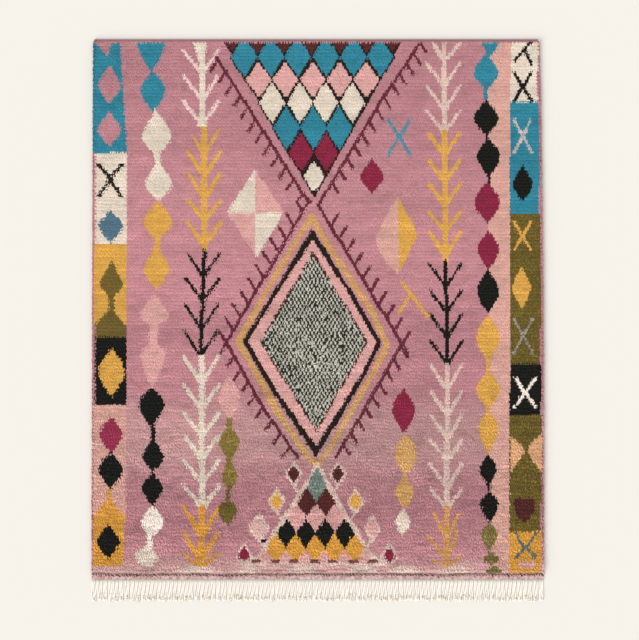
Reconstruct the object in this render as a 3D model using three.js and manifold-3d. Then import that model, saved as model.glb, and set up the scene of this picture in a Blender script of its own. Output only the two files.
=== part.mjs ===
// Hand-knotted wool pile rug lying flat, with a knotted fringe at one end.
// Millimetres. X runs across the rug, +Y points to the plain end, +Z points up from the floor.
import * as THREE from 'three';
import Module from 'manifold-3d';

const wasm = await Module();
wasm.setup();

// Driving dimensions of the rug
const pileLength = 2966;
const pileHeight = 20;
const bandLength = 37;
const bandThickness = 5;

// The cloth widens a little from the plain end to the fringe end
const edges = [
  { fromPlainEnd: 0, left: -1251, right: 1238 },
  { fromPlainEnd: 335, left: -1252, right: 1247 },
  { fromPlainEnd: 890, left: -1254, right: 1253 },
  { fromPlainEnd: 1450, left: -1257, right: 1259 },
  { fromPlainEnd: 2000, left: -1259, right: 1262 },
  { fromPlainEnd: pileLength, left: -1262, right: 1262 },
];

// Lumps of the pile, softer at the plain end and shaggier at the fringe end
const lumpCells = { across: 30, along: 35 };
const lumpHeight = { plainEnd: 1.2, fringeEnd: 2.6 };
const lumps = [
  { everyAcross: 510, everyAlong: 390, turn: 0.4, share: 0.4 },
  { everyAcross: 270, everyAlong: -330, turn: 1.9, share: 0.3 },
  { everyAcross: -640, everyAlong: 205, turn: 4.1, share: 0.3 },
];

// Locks of yarn that lean out over the rim, two to a lump cell
const pointsPerCell = 4;
const lock = { reach: 9, bay: 1.5, low: 6, rise: 5 };
const rim = { crown: 26, shoulder: 6, shoulderDrop: 4, foot: 3 };
const cornerDraw = 6;

// Fringe: warp ends gathered into flat strands, each tied in a knot near its tip
const strandCount = 84;
const strandLength = 120;
const strandUneven = { length: 11, sideways: 9 };
const backing = { width: 9, thickness: 5, sideInset: 4 };
const partingGap = 0.3;
const strandSections = [
  { along: 0, halfWidth: 12, height: 4 },
  { along: 0.4, halfWidth: 11, height: 5.5 },
  { along: 0.8, halfWidth: 7, height: 6.5 },
  { along: 0.89, halfWidth: 8.5, height: 13 },
  { along: 0.95, halfWidth: 5, height: 6 },
  { along: 1, halfWidth: 3, height: 3 },
];

// A value from 0 to 1 that looks random and is the same each time
function unevenness(index, row) {
  const wave = Math.sin(index * 12.9898 + row * 78.233) * 43758.5453;
  return wave - Math.floor(wave);
}

function mix(from, to, share) {
  return from + (to - from) * share;
}

function edgesAt(fromPlainEnd) {
  let before = edges[0];
  let after = edges[1];
  for (let row = 1; row < edges.length && fromPlainEnd > before.fromPlainEnd; row += 1) {
    after = edges[row];
    if (fromPlainEnd <= after.fromPlainEnd) break;
    before = after;
  }
  const span = after.fromPlainEnd - before.fromPlainEnd || 1;
  const share = Math.max(0, fromPlainEnd - before.fromPlainEnd) / span;
  return { left: mix(before.left, after.left, share), right: mix(before.right, after.right, share) };
}

// Point of the cloth at a share of its width and length, drawn in from all four edges
function clothPoint(across, along, drawnIn) {
  const edge = edgesAt(along * pileLength);
  const x = mix(edge.left + drawnIn, edge.right - drawnIn, across);
  const y = -mix(drawnIn, pileLength - drawnIn, along);
  return { x, y };
}

function pileTop(x, y) {
  const share = -y / pileLength;
  let sum = 0;
  for (const lump of lumps) {
    const phase = x / lump.everyAcross + y / lump.everyAlong;
    sum += lump.share * Math.sin(phase * 2 * Math.PI + lump.turn);
  }
  return pileHeight + mix(lumpHeight.plainEnd, lumpHeight.fringeEnd, share) * sum;
}

// Collects points and triangles of one closed body
function newBody() {
  const points = [];
  const triangles = [];
  return {
    point(x, y, z) {
      points.push(x, y, z);
      return points.length / 3 - 1;
    },
    triangle(a, b, c) {
      triangles.push(a, b, c);
    },
    geometry() {
      const geometry = new THREE.BufferGeometry();
      geometry.setAttribute('position', new THREE.BufferAttribute(new Float32Array(points), 3));
      geometry.setIndex(new THREE.BufferAttribute(new Uint32Array(triangles), 1));
      geometry.computeVertexNormals();
      return geometry;
    },
  };
}

// Walk round the rim from the left corner of the fringe end, counter-clockwise from above
function rimWalk(stepsAcross, stepsAlong) {
  const stops = [];
  for (let i = 0; i < stepsAcross; i += 1) stops.push({ across: i / stepsAcross, along: 1 });
  for (let i = 0; i < stepsAlong; i += 1) stops.push({ across: 1, along: 1 - i / stepsAlong });
  for (let i = 0; i < stepsAcross; i += 1) stops.push({ across: 1 - i / stepsAcross, along: 0 });
  for (let i = 0; i < stepsAlong; i += 1) stops.push({ across: 0, along: i / stepsAlong });
  return stops;
}

// Fan of triangles between one inner edge and the finer run of points outside it
function fan(body, innerStart, innerEnd, outer) {
  const middle = Math.floor((outer.length - 1) / 2);
  for (let i = 0; i < middle; i += 1) body.triangle(innerStart, outer[i], outer[i + 1]);
  body.triangle(innerStart, outer[middle], innerEnd);
  for (let i = middle; i < outer.length - 1; i += 1) body.triangle(innerEnd, outer[i], outer[i + 1]);
}

function wallBetween(body, upper, lower) {
  for (let i = 0; i < upper.length; i += 1) {
    const next = (i + 1) % upper.length;
    body.triangle(upper[i], lower[i], lower[next]);
    body.triangle(upper[i], lower[next], upper[next]);
  }
}

// One ring of points round the rim: its distance outside the edge and its height vary with the locks
function rimRing(body, stops, outside, height) {
  return stops.map((stop, index) => {
    const corner = (stop.across === 0 || stop.across === 1) && (stop.along === 0 || stop.along === 1);
    const drawnIn = (corner ? cornerDraw : 0) - outside(index);
    const place = clothPoint(stop.across, stop.along, drawnIn);
    return body.point(place.x, place.y, height(index));
  });
}

function makePileSlab() {
  const body = newBody();
  const { across, along } = lumpCells;
  const grid = [];
  for (let row = 0; row <= along; row += 1) {
    grid.push([]);
    for (let column = 0; column <= across; column += 1) {
      const place = clothPoint(column / across, row / along, rim.crown);
      grid[row].push(body.point(place.x, place.y, pileTop(place.x, place.y)));
    }
  }
  for (let row = 0; row < along; row += 1) {
    for (let column = 0; column < across; column += 1) {
      const nearLeft = grid[row + 1][column];
      const nearRight = grid[row + 1][column + 1];
      const farRight = grid[row][column + 1];
      body.triangle(nearLeft, nearRight, farRight);
      body.triangle(nearLeft, farRight, grid[row][column]);
    }
  }

  const crown = rimWalk(across, along).map((stop) => {
    return grid[Math.round(stop.along * along)][Math.round(stop.across * across)];
  });
  const stops = rimWalk(across * pointsPerCell, along * pointsPerCell);
  const isTip = (index) => index % 2 === 1;
  const lockReach = (index) => {
    return isTip(index) ? lock.reach * mix(0.35, 1, unevenness(index, 1)) : -lock.bay;
  };
  const shoulder = rimRing(body, stops,
    (index) => -rim.shoulder + (isTip(index) ? 2 : 0),
    (index) => pileHeight - rim.shoulderDrop * mix(0.6, 1.2, unevenness(index, 2)));
  const locks = rimRing(body, stops, lockReach,
    (index) => lock.low + lock.rise * unevenness(index, 3));
  const foot = rimRing(body, stops,
    (index) => -rim.foot + (isTip(index) ? 1 : 0),
    () => 0);

  crown.forEach((start, index) => {
    const first = index * pointsPerCell;
    const outer = [];
    for (let i = 0; i <= pointsPerCell; i += 1) outer.push(shoulder[(first + i) % shoulder.length]);
    fan(body, start, crown[(index + 1) % crown.length], outer);
  });
  wallBetween(body, shoulder, locks);
  wallBetween(body, locks, foot);
  closeUnderside(body, foot, across * pointsPerCell, along * pointsPerCell);
  return body.geometry();
}

// Flat underside: cross strips from the left edge to the right edge, and a fan at each end
function closeUnderside(body, foot, stepsAcross, stepsAlong) {
  const right = (step) => foot[stepsAcross + step];
  const left = (step) => foot[(2 * stepsAcross + 2 * stepsAlong - step) % foot.length];
  for (let step = 1; step < stepsAlong - 1; step += 1) {
    body.triangle(left(step), right(step + 1), right(step));
    body.triangle(left(step), left(step + 1), right(step + 1));
  }
  const fringeEnd = foot.slice(0, stepsAcross + 1).reverse();
  const plainEnd = foot.slice(stepsAcross + stepsAlong, 2 * stepsAcross + stepsAlong + 1).reverse();
  fan(body, right(1), left(1), fringeEnd);
  fan(body, left(stepsAlong - 1), right(stepsAlong - 1), plainEnd);
}

// Four-sided body that lies level on the floor and runs towards -Y through its sections
function makeLyingBody(sections) {
  const body = newBody();
  const rings = sections.map((section) => [
    body.point(section.x - section.halfWidth, section.y, 0),
    body.point(section.x + section.halfWidth, section.y, 0),
    body.point(section.x + section.halfWidth, section.y, section.height),
    body.point(section.x - section.halfWidth, section.y, section.height),
  ]);
  for (let i = 0; i < rings.length - 1; i += 1) {
    const near = rings[i];
    const far = rings[i + 1];
    for (let side = 0; side < 4; side += 1) {
      const next = (side + 1) % 4;
      body.triangle(near[side], near[next], far[next]);
      body.triangle(near[side], far[next], far[side]);
    }
  }
  const root = rings[0];
  const tip = rings[rings.length - 1];
  body.triangle(root[0], root[3], root[2]);
  body.triangle(root[0], root[2], root[1]);
  body.triangle(tip[0], tip[1], tip[2]);
  body.triangle(tip[0], tip[2], tip[3]);
  return body.geometry();
}

function makeStrip(fromY, toY, sideInset, height) {
  const edge = edgesAt(pileLength);
  const x = (edge.left + edge.right) / 2;
  const halfWidth = (edge.right - edge.left) / 2 - sideInset;
  return makeLyingBody([{ x, y: fromY, halfWidth, height }, { x, y: toY, halfWidth, height }]);
}

function makeStrand(index, rootY) {
  const edge = edgesAt(pileLength);
  const pitch = (edge.right - edge.left - 2 * backing.sideInset) / strandCount;
  const rootX = edge.left + backing.sideInset + pitch * (index + 0.5);
  const length = strandLength - strandUneven.length * unevenness(index, 4);
  const drift = strandUneven.sideways * (unevenness(index, 5) - 0.5);
  return makeLyingBody(strandSections.map((section) => ({
    x: rootX + drift * section.along ** 2,
    y: rootY - length * section.along,
    halfWidth: section.halfWidth,
    height: section.height,
  })));
}

// Joins by union, from and back to plain triangle meshes
function toSolid(geometry) {
  const vertProperties = geometry.getAttribute('position').array;
  const triVerts = geometry.getIndex().array;
  return new wasm.Manifold(new wasm.Mesh({ numProp: 3, vertProperties, triVerts }));
}

function toGeometry(solid) {
  const mesh = solid.getMesh();
  const geometry = new THREE.BufferGeometry();
  geometry.setAttribute('position', new THREE.BufferAttribute(mesh.vertProperties, 3));
  geometry.setIndex(new THREE.BufferAttribute(mesh.triVerts, 1));
  geometry.computeVertexNormals();
  return geometry;
}

// Rug: the pile slab and the flat-woven band are one cloth
function makeRug() {
  const overlap = 60;
  const band = makeStrip(-pileLength + overlap, -pileLength - bandLength, backing.sideInset, bandThickness);
  return toGeometry(toSolid(makePileSlab()).add(toSolid(band)));
}

// Fringe: strands fused at their roots into a narrow strip at the end of the band
function makeFringe() {
  const stripStart = -pileLength - bandLength - partingGap;
  const stripEnd = stripStart - backing.width;
  const rootY = stripEnd + backing.width / 3;
  let fringe = toSolid(makeStrip(stripStart, stripEnd, backing.sideInset, backing.thickness));
  for (let index = 0; index < strandCount; index += 1) {
    fringe = fringe.add(toSolid(makeStrand(index, rootY)));
  }
  return toGeometry(fringe);
}

const rug = new THREE.Mesh(makeRug(), new THREE.MeshStandardMaterial({
  color: '#bb7d8a', roughness: 0.95, metalness: 0,
}));
rug.name = 'rug';

const fringe = new THREE.Mesh(makeFringe(), new THREE.MeshStandardMaterial({
  color: '#e9e0cf', roughness: 0.9, metalness: 0,
}));
fringe.name = 'fringe';

// The origin is the centre of the whole outline, on the floor
const group = new THREE.Group();
group.add(rug, fringe);
const centre = new THREE.Box3().setFromObject(group).getCenter(new THREE.Vector3());
rug.geometry.translate(-centre.x, -centre.y, 0);
fringe.geometry.translate(-centre.x, -centre.y, 0);

export default group;
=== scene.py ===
import math

import bpy
import numpy as np
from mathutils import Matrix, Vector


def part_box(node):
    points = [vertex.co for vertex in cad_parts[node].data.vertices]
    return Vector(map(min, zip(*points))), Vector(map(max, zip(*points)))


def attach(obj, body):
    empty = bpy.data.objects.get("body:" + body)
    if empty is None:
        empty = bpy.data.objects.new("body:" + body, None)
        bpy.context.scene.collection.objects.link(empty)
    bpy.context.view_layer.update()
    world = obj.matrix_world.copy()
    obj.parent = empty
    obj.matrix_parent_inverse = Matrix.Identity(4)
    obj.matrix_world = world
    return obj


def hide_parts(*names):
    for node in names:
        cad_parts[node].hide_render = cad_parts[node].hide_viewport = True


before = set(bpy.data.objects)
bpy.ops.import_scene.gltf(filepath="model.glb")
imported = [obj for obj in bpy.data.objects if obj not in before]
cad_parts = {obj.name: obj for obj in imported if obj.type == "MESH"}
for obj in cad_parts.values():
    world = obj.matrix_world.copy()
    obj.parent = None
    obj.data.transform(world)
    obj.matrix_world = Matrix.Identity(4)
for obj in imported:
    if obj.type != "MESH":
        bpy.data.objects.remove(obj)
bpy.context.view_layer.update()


# Layout on the loom. The knots stand in rows across a cream warp, and each knot covers about 11 by 19 mm.
# The cloth widens a little towards the fringe end, so the columns of knots spread with the warp.
KNOTS = 235
ROWS = 159
PILE_LENGTH = 2.966
BAND_LENGTH = 0.037
ROW_PITCH = PILE_LENGTH / ROWS
KNOT_PITCH = 0.0107
GROUND_TOP = 0.005
SELVEDGE_INSET = 0.005
EDGES = [  # metres from the plain end, left edge, right edge
    (0.000, -1.242, 1.226),
    (0.015, -1.250, 1.234),
    (0.335, -1.252, 1.244),
    (0.890, -1.254, 1.252),
    (1.450, -1.256, 1.258),
    (2.000, -1.257, 1.260),
    (PILE_LENGTH, -1.260, 1.261),
]
BAND_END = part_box("rug")[0].y
PILE_END = BAND_END + BAND_LENGTH
PLAIN_END = PILE_END + PILE_LENGTH


def on_cloth(column, row, inset=0.0):
    """Place on the cloth of a knot counted from the left edge and from the plain end."""
    down = row * ROW_PITCH
    distances, lefts, rights = zip(*EDGES)
    left = np.interp(down, distances, lefts) + inset
    right = np.interp(down, distances, rights) - inset
    return left + (right - left) * column / KNOTS, PLAIN_END - down


# Dyed yarns and the design. Each knot is tied in one colour, and the weaver counts motifs in knots and rows.
# The chart has half-knot steps, because a knot's two ends mingle with their neighbours along a motif's sides.
# The motifs are the usual ones of the region: panels with crosses and diamonds, chains, ferns and a spiked
# medallion.
YARNS = {
    "rose": "#c98e95",
    "peach": "#dcab9e",
    "blush": "#e1aca7",
    "cream": "#e6d8c7",
    "oat": "#e6d6c6",
    "white": "#f8ebdf",
    "bone": "#c2bfb0",
    "petal": "#e3cabd",
    "pearl": "#efd6ce",
    "sea": "#4a91a6",
    "shell": "#e3bab2",
    "fern_green": "#7c6f39",
    "honey": "#d5a057",
    "fog": "#dec8bb",
    "loden": "#6b5a28",
    "berry": "#a23554",
    "ash": "#d3c0ba",
    "apricot": "#dcaa80",
    "teal": "#348a9f",
    "steel": "#597a8c",
    "mustard": "#e0ac52",
    "amber": "#dca145",
    "gold": "#d3a364",
    "olive": "#77642f",
    "moss": "#95803f",
    "black": "#14140f",
    "outline": "#261a12",
    "charcoal": "#2e2c24",
    "burgundy": "#5b2826",
    "wine": "#6d2a3a",
    "raspberry": "#8f2644",
    "heather": "#77877e",
    "grey": "#a39a90",
    "slate": "#5f7070",
    "maroon": "#572823",
    "brick": "#814b46",
}
SECOND_YARN = {  # plied in with the first, so that the colour is speckled
    "gold": "#d8ae76",
    "fern_green": "#8d8450",
    "honey": "#d09a72",
    "fog": "#d6b3a9",
    "loden": "#7d6c2c",
    "ash": "#9fb0b4",
    "heather": "#949a8f",
    "grey": "#857b70",
    "moss": "#857036",
    "bone": "#cfccc0",
    "petal": "#d8b5ac",
    "pearl": "#e3c3ba",
    "sea": "#6f94a2",
}
yarn_names = list(YARNS)
HALVES = 2
chart = np.zeros((ROWS * HALVES, KNOTS * HALVES), int)
column, row = np.meshgrid(
    (np.arange(KNOTS * HALVES) + 0.5) / HALVES, (np.arange(ROWS * HALVES) + 0.5) / HALVES
)


def tie(yarn, where):
    chart[where] = yarn_names.index(yarn)


def column_at(points, at_row):
    """The column where a line through points given as (column, row) crosses a row."""
    columns, rows = zip(*points)
    return np.interp(at_row, rows, columns)


def fill(yarn, left, right):
    """Knots between a left and a right side, each a list of (column, row) from the plain end down."""
    inside = (row >= max(left[0][1], right[0][1])) & (row <= min(left[-1][1], right[-1][1]))
    tie(yarn, inside & (column >= column_at(left, row)) & (column <= column_at(right, row)))


def unevenness(seed, knots, rows, across, along):
    """Smooth wandering from -1 to 1 over the cloth, a change every so many knots and rows."""
    shape = (int(ROWS / rows) + 3, int(KNOTS / knots) + 3)
    points = np.random.default_rng(seed).uniform(-1, 1, shape)
    along, across = (along / rows).clip(0, shape[0] - 1.001), (across / knots).clip(0, shape[1] - 1.001)
    r, c = along.astype(int), across.astype(int)
    down, right = along - r, across - c
    down, right = down * down * (3 - 2 * down), right * right * (3 - 2 * right)
    upper = points[r, c] * (1 - right) + points[r, c + 1] * right
    lower = points[r + 1, c] * (1 - right) + points[r + 1, c + 1] * right
    return upper * (1 - down) + lower * down


def diamond(yarn, middle, top, widest, bottom, half, fullness=1.0):
    """A diamond with straight sides, or one with round sides where its fullness is over 1."""
    share = np.minimum((row - top) / (widest - top), (bottom - row) / (bottom - widest)).clip(0, 1)
    reach = half * (1 - (1 - share) ** fullness)
    tie(yarn, (share > 0) & (np.abs(column - middle) <= reach))


HALF_STEP = 0.5 / HALVES


def line(yarn, points, width, last_width=None):
    """A line of knots through points given as (column, row), its widths at both ends counted in knots.

    The more it slants, the more knots of a row it takes up.
    """
    points = sorted(points, key=lambda point: point[1])
    columns, rows = zip(*points)
    first, last = rows[0], rows[-1]
    slant = np.abs(np.diff(columns)).sum() / (last - first)
    taper = ((last_width or width) - width) * ((row - first) / (last - first)).clip(0, 1)
    half = (width + taper + 0.5 * slant) / 2
    along = (row >= first - HALF_STEP) & (row <= last + HALF_STEP)
    tie(yarn, along & (np.abs(column - column_at(points, row)) <= half))


def cross(yarn, left, right, top, bottom, width):
    line(yarn, [(left, top), (right, bottom)], width)
    line(yarn, [(right, top), (left, bottom)], width)


def parted_cross(yarn, left, right, top, middle, bottom, width, gap):
    """A cross drawn as a V above an inverted V, with a gap of some rows between them."""
    centre = (left + right) / 2
    blunt = 0.4
    for outside, inside in ((left, centre - blunt), (right, centre + blunt)):
        line(yarn, [(outside, top), (inside, middle - gap / 2)], width)
        line(yarn, [(inside, middle + gap / 2), (outside, bottom)], width)


# Rose ground, with a strip of peach along the right-hand chain and a rose strip at both ends
tie("rose", row > 0)
fill("peach", [(207, 0.5), (206, 80), (208, 159)], [(223, 0.5), (219, 60), (218, 159)])

# Left border: a stack of plain panels
left_inner = [(14, 0.5), (15.5, 6.5), (17, 16.5), (18, 33), (17.8, 61), (18, 110), (17.6, 141), (16, 158)]
for yarn, first, last, outer in [
    ("teal", 1, 33.5, 0),
    ("cream", 33.5, 61, 1.3),
    ("mustard", 61, 85, 1.0),
    ("olive", 85, 88.5, 1.6),
    ("black", 88.5, 109, 1.6),
    ("peach", 109, 141.5, 0.7),
    ("amber", 141.5, 157.5, 0.9),
]:
    inner = [(column_at(left_inner, end), end) for end in (first, last)]
    fill(yarn, [(outer, first), (outer, last)], inner)
fill("rose", [(1.8, 1), (6.9, 5.1)], [(9.5, 1), (8.7, 2.4), (7.4, 5.1)])
fill("teal", [(1.2, 33.4), (1.2, 34.2)], [(14, 33.4), (1.6, 34.2)])
line("olive", [(10, 77), (10, 80.5)], 3)
fill("olive", [(9.5, 80), (1, 85)], [(10.5, 80), (17, 85)])
fill(
    "amber",
    [(8.3, 134), (7.6, 137.4), (3.6, 140.2), (1.6, 142)],
    [(9.3, 134), (10.4, 137.4), (14.5, 140.2), (17, 142)],
)
parted_cross("outline", 3.3, 15.2, 37.4, 41.5, 46.8, 1.5, 1.0)
for motif in [
    ("rose", 8.6, 7.7, 13.6, 19.4, 6.1, 1.2),
    ("rose", 8.7, 21.4, 27, 32, 6.3, 1.2),
    ("steel", 9.5, 51, 55.5, 60.5, 6.5, 1.4),
    ("olive", 10, 66, 73, 77.5, 6.5, 1.1),
    ("mustard", 10.2, 92, 99, 106.5, 6.9, 1.5),
    ("berry", 10, 112.3, 117.5, 123.5, 6.1, 1.4),
    ("black", 9.8, 123, 128.2, 133.8, 6.1, 1.7),
    ("black", 8.7, 144.3, 149.8, 154.7, 6.1, 1.3),
]:
    diamond(*motif)

# Left chain of diamonds, with its narrow necks
line("cream", [(33.5, 33.5), (34.5, 39.5)], 3)
line("cream", [(32, 20.5), (33, 24)], 2)
line("mustard", [(34, 59), (33.5, 63)], 3)
line("blush", [(32.5, 83), (31.5, 92)], 4.4)
line("black", [(31.5, 113), (31.8, 120)], 2.2)
line("black", [(32, 128), (31.5, 130.5)], 1.5)
line("white", [(30.5, 146.5), (29.8, 151.5)], 3)
CHAIN_FULLNESS = 1.6
for motif in [
    ("teal", 30.5, -7.5, 1, 9.5, 7.3),
    ("teal", 31.5, 9.5, 15, 21.5, 6.5),
    ("cream", 33.5, 21.5, 29, 34.5, 7.5),
    ("cream", 34.4, 37, 42.9, 48, 7),
    ("mustard", 34, 48, 54.5, 60, 7.5),
    ("mustard", 33.5, 62, 68.5, 74.5, 6.5),
    ("blush", 32.5, 76, 82.5, 85.5, 7.5),
    ("blush", 31.5, 90, 94, 103.5, 6.5),
    ("black", 31, 103.5, 108.5, 115.5, 6.5),
    ("black", 32, 119, 124.5, 128.5, 5.5),
    ("black", 31.5, 129.5, 133.5, 139, 5.5),
    ("white", 31.5, 139, 143.5, 148.5, 6),
    ("oat", 28.5, 150.3, 154.2, 157.9, 5.9),
]:
    diamond(*motif, CHAIN_FULLNESS)


def fern(stem, fronds):
    """A stem through points (column, row), with pairs of branches that rise outwards from joint to tip.

    A joint swells to a small diamond, and the branches are thinner at their tips.
    """
    for yarn, first, last, width, branch_width, left_reach, right_reach, branches in fronds:
        for tip, joint in branches:
            middle = column_at(stem, joint)
            for side, reach in ((-1, left_reach), (1, right_reach)):
                line(yarn, [(middle + side * reach, tip), (middle + side, joint)], branch_width, width - 0.8)
            diamond(yarn, middle, joint - 1.6, joint - 0.2, joint + 0.9, 0.4 * width + 1.1)
        line(yarn, [(column_at(stem, end), end) for end in (first, last)], width)


fern([(57.3, 0)], [("pearl", 0.5, 25.5, 2.6, 1.5, 9.8, 8.4, [(3.3, 9.5), (10.8, 17.3), (18.4, 24.8)])])
line("cream", [(57.3, 0.5), (57.3, 25.5)], 3)
fern([(58.2, 25), (58.4, 63), (56.4, 94)], [
    ("mustard", 25.5, 62.5, 3.2, 1.6, 8.6, 8.7, [(33.5, 39.7), (39.6, 46.8), (48, 53), (54.5, 60.5)]),
    ("black", 63, 94, 2.0, 1.25, 8.4, 8.6, [(63.6, 70), (71.5, 77), (79, 85.5), (87, 93.5)]),
])
line("mustard", [(53.4, 29.4), (57, 33.4)], 1.2, 2)
line("mustard", [(66.4, 26.6), (59.4, 33.2)], 1.2, 2)
fern([(56.8, 94), (57.4, 139), (56.8, 157)], [
    ("cream", 94.5, 139, 3.0, 1.5, 9.2, 8.7, [
        (94.5, 101.5), (103, 109.5), (111.5, 117.5), (117.7, 124.5), (125.5, 131.7), (133, 139),
    ]),
    ("amber", 139, 157, 3.6, 1.4, 9.2, 9.0, [(139, 147.5), (146.6, 154.5), (153.3, 157)]),
])
fill("cream", [(52.5, 0.5), (55.5, 6.5)], [(60, 0.5), (58.5, 6.5)])
fill("cream", [(56, 23), (54.3, 26)], [(58.5, 23), (60, 26)])
fern([(184.6, 0), (184.0, 30), (184.0, 66), (184.8, 97), (184.4, 157)], [
    ("petal", 0.5, 27.5, 2.4, 1.2, 9.2, 8.4, [(7.0, 13), (13.8, 20), (21.2, 27)]),
    ("mustard", 27.5, 66, 3.2, 1.6, 8.2, 8.0, [
        (28, 33.5), (36, 41.5), (43, 48.5), (51.5, 56.5), (57.5, 63.5),
    ]),
    ("black", 66, 97, 2.0, 1.25, 8.5, 7.6, [(67, 73), (75, 80.5), (82, 88), (90, 96)]),
    ("petal", 97, 139.5, 2.8, 1.5, 8.5, 7.5, [
        (97, 103.5), (105, 111), (112, 118), (119.5, 124.5), (126.5, 133), (134, 139),
    ]),
    ("honey", 139.5, 156.5, 2.8, 1.2, 7.0, 6.4, [(141.3, 147.5)]),
])
line("petal", [(178.6, 0.5), (183.6, 5.8)], 1.4, 2)
line("petal", [(194, 0.5), (186, 5.8)], 1.4, 2)
line("honey", [(173.6, 147.6), (183.4, 153.5)], 1.2, 2.4)
line("honey", [(190, 146.4), (185.4, 153.5)], 1.2, 2.4)
line("honey", [(175.5, 154.6), (183.4, 156.5)], 1.2, 2)
line("honey", [(191.8, 154.2), (185.4, 156.5)], 1.2, 2)

# Small motifs left of the medallion
for motif in [
    ("blush", 71.5, 100.5, 106.5, 112.8, 5.4, 1.9),
    ("moss", 71.5, 114.6, 120, 125.6, 5.5, 1.4),
    ("moss", 71.5, 126, 130, 134.6, 4.3, 1.5),
    ("olive", 70.5, 136.8, 140, 144.8, 5.2, 1.8),
]:
    diamond(*motif)
line("moss", [(71.5, 113), (71.5, 116)], 3)
line("moss", [(71.5, 124.5), (71.5, 127.5)], 3)
line("olive", [(71.5, 133), (70.5, 138)], 2)
fill("cream", [(84.5, 39), (70, 51.5)], [(85, 39), (85, 51.5)])
fill("blush", [(85, 39), (85, 51.5)], [(85.5, 39), (100, 51.5)])
fill("blush", [(70, 51.5), (85.5, 64.5)], [(85, 51.5), (85, 64.5)])
fill("cream", [(85, 51.5), (85, 64.5)], [(100, 51.5), (86, 64.5)])

# Inverted triangle of diamonds in black outlines, hung from the plain end
fill("outline", [(68.5, 0.5), (116, 47)], [(162.8, 0.5), (116.5, 47)])
fill("burgundy", [(69.6, 0.5), (77, 6.5)], [(161.6, 0.5), (153.5, 6.5)])
LATTICE_FULLNESS = 1.04
for yarn, middles, top, widest, bottom, half in [
    ("teal", (79.5, 93.5, 107.5, 122.5, 137, 151), -1.2, 5.2, 11.2, 6.8),
    ("blush", (87, 101, 115.5, 129.5, 143.5), 6.6, 12, 17.4, 6.7),
    ("cream", (94, 108.5, 122, 136), 12.6, 18.8, 24.9, 6.7),
    ("teal", (101.5, 115.5, 129), 20, 26.2, 32.9, 6.9),
    ("raspberry", (109, 122.2), 27.6, 33.8, 39.3, 6.4),
    ("cream", (115.7,), 36, 40.8, 45.6, 5.4),
]:
    for middle in middles:
        diamond("outline", middle, top - 0.8, widest, bottom + 0.9, half + 1.1)
    for middle in middles:
        diamond(yarn, middle, top, widest, bottom, half, LATTICE_FULLNESS)


SPIKED_WIDTH = 1.5
SPIKE_WIDTH = 1.3


def spiked_line(points, first, last, step, spike):
    """A wine line with short spikes on one side, every few rows."""
    line("wine", points, SPIKED_WIDTH)
    for start in np.arange(first, last, step):
        root = column_at(points, start)
        line("wine", [(root, start), (root + spike[0], start + spike[1])], SPIKE_WIDTH)


spiked_line([(65.0, 5.4), (112.8, 48.5)], 6, 43, 3.56, (-3.8, 3.2))
spiked_line([(172.6, 0.4), (164.7, 7.2), (152.6, 16.8)], 0.9, 14, 3.1, (3.3, 3.0))
spiked_line([(152.6, 16.8), (118, 49.2)], 17, 46, 3.65, (3.3, 3.1))
line("wine", [(110, 45.8), (106.5, 48.3), (109.5, 51)], 1.1)
line("wine", [(110, 45.8), (113.5, 48.3), (109.5, 51)], 1.1)

# Medallion: a spiked wine line, then gold, rose, black and blush lozenges, and a checkered field
# of single knots
spiked_line([(110, 51), (70, 90)], 55.6, 91, 3.88, (-4.2, -3.9))
spiked_line([(118, 49.5), (161.5, 91)], 55.6, 91, 3.91, (3.9, -3.7))
spiked_line([(69.8, 90), (88, 108.8), (106.8, 124.5)], 94.2, 122, 3.85, (-3.6, 3.0))
spiked_line([(161.5, 90.5), (127.2, 124.2)], 91.5, 122, 3.66, (3.4, 3.1))
line("wine", [(70, 90), (67, 93)], 1.2)
line("wine", [(161.5, 90.5), (164.5, 93.5)], 1.2)
for yarn, left, right in [
    ("gold", [
        (114.2, 51.3), (106.3, 58.6), (89.3, 74.7), (74.2, 90.2), (84.2, 100.1), (95.9, 112), (107.9, 121.9),
        (115, 127.2),
    ], [
        (114.8, 51.3), (121.5, 58.6), (147, 80.7), (155.2, 91), (147.4, 100.1), (134.9, 112), (125.1, 121.9),
        (118.5, 127.2),
    ]),
    ("rose", [
        (114.2, 55), (109.6, 58.6), (92.6, 74.7), (77.8, 90.2), (87.8, 100.1), (99.5, 112), (110.9, 121.6),
        (115.6, 125.4),
    ], [
        (114.8, 55), (118.0, 58.6), (143.6, 80.7), (151.9, 90.8), (144, 100.1), (131.5, 112), (122.2, 121.6),
        (117.8, 125.4),
    ]),
    ("outline", [
        (114, 56.6), (112, 58.6), (94.7, 74.7), (78, 90), (95, 106.1), (113.6, 121.9), (116.2, 124.4),
    ], [
        (115.6, 56.6), (117.3, 58.6), (134.8, 74.7), (150.7, 90.2), (142.2, 100.1), (119.3, 121.9),
        (117, 124.4),
    ]),
    ("blush",
     [(114.4, 59.9), (97.4, 74.7), (81, 90), (97.8, 106.1), (114.6, 119.4), (116.2, 121.2)],
     [(115.2, 59.9), (132.3, 74.7), (148, 90.2), (139.6, 100.1), (118, 119.6), (116.8, 121.2)]),
    ("maroon", [(114.6, 63.2), (87, 90), (115.5, 116.3)], [(115.4, 63.2), (143.6, 90), (117.5, 116.3)]),
    ("bone", [(114.8, 64), (87.8, 90), (115.7, 115.6)], [(115.2, 64), (142.8, 90), (117.3, 115.6)]),
]:
    fill(yarn, left, right)

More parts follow.
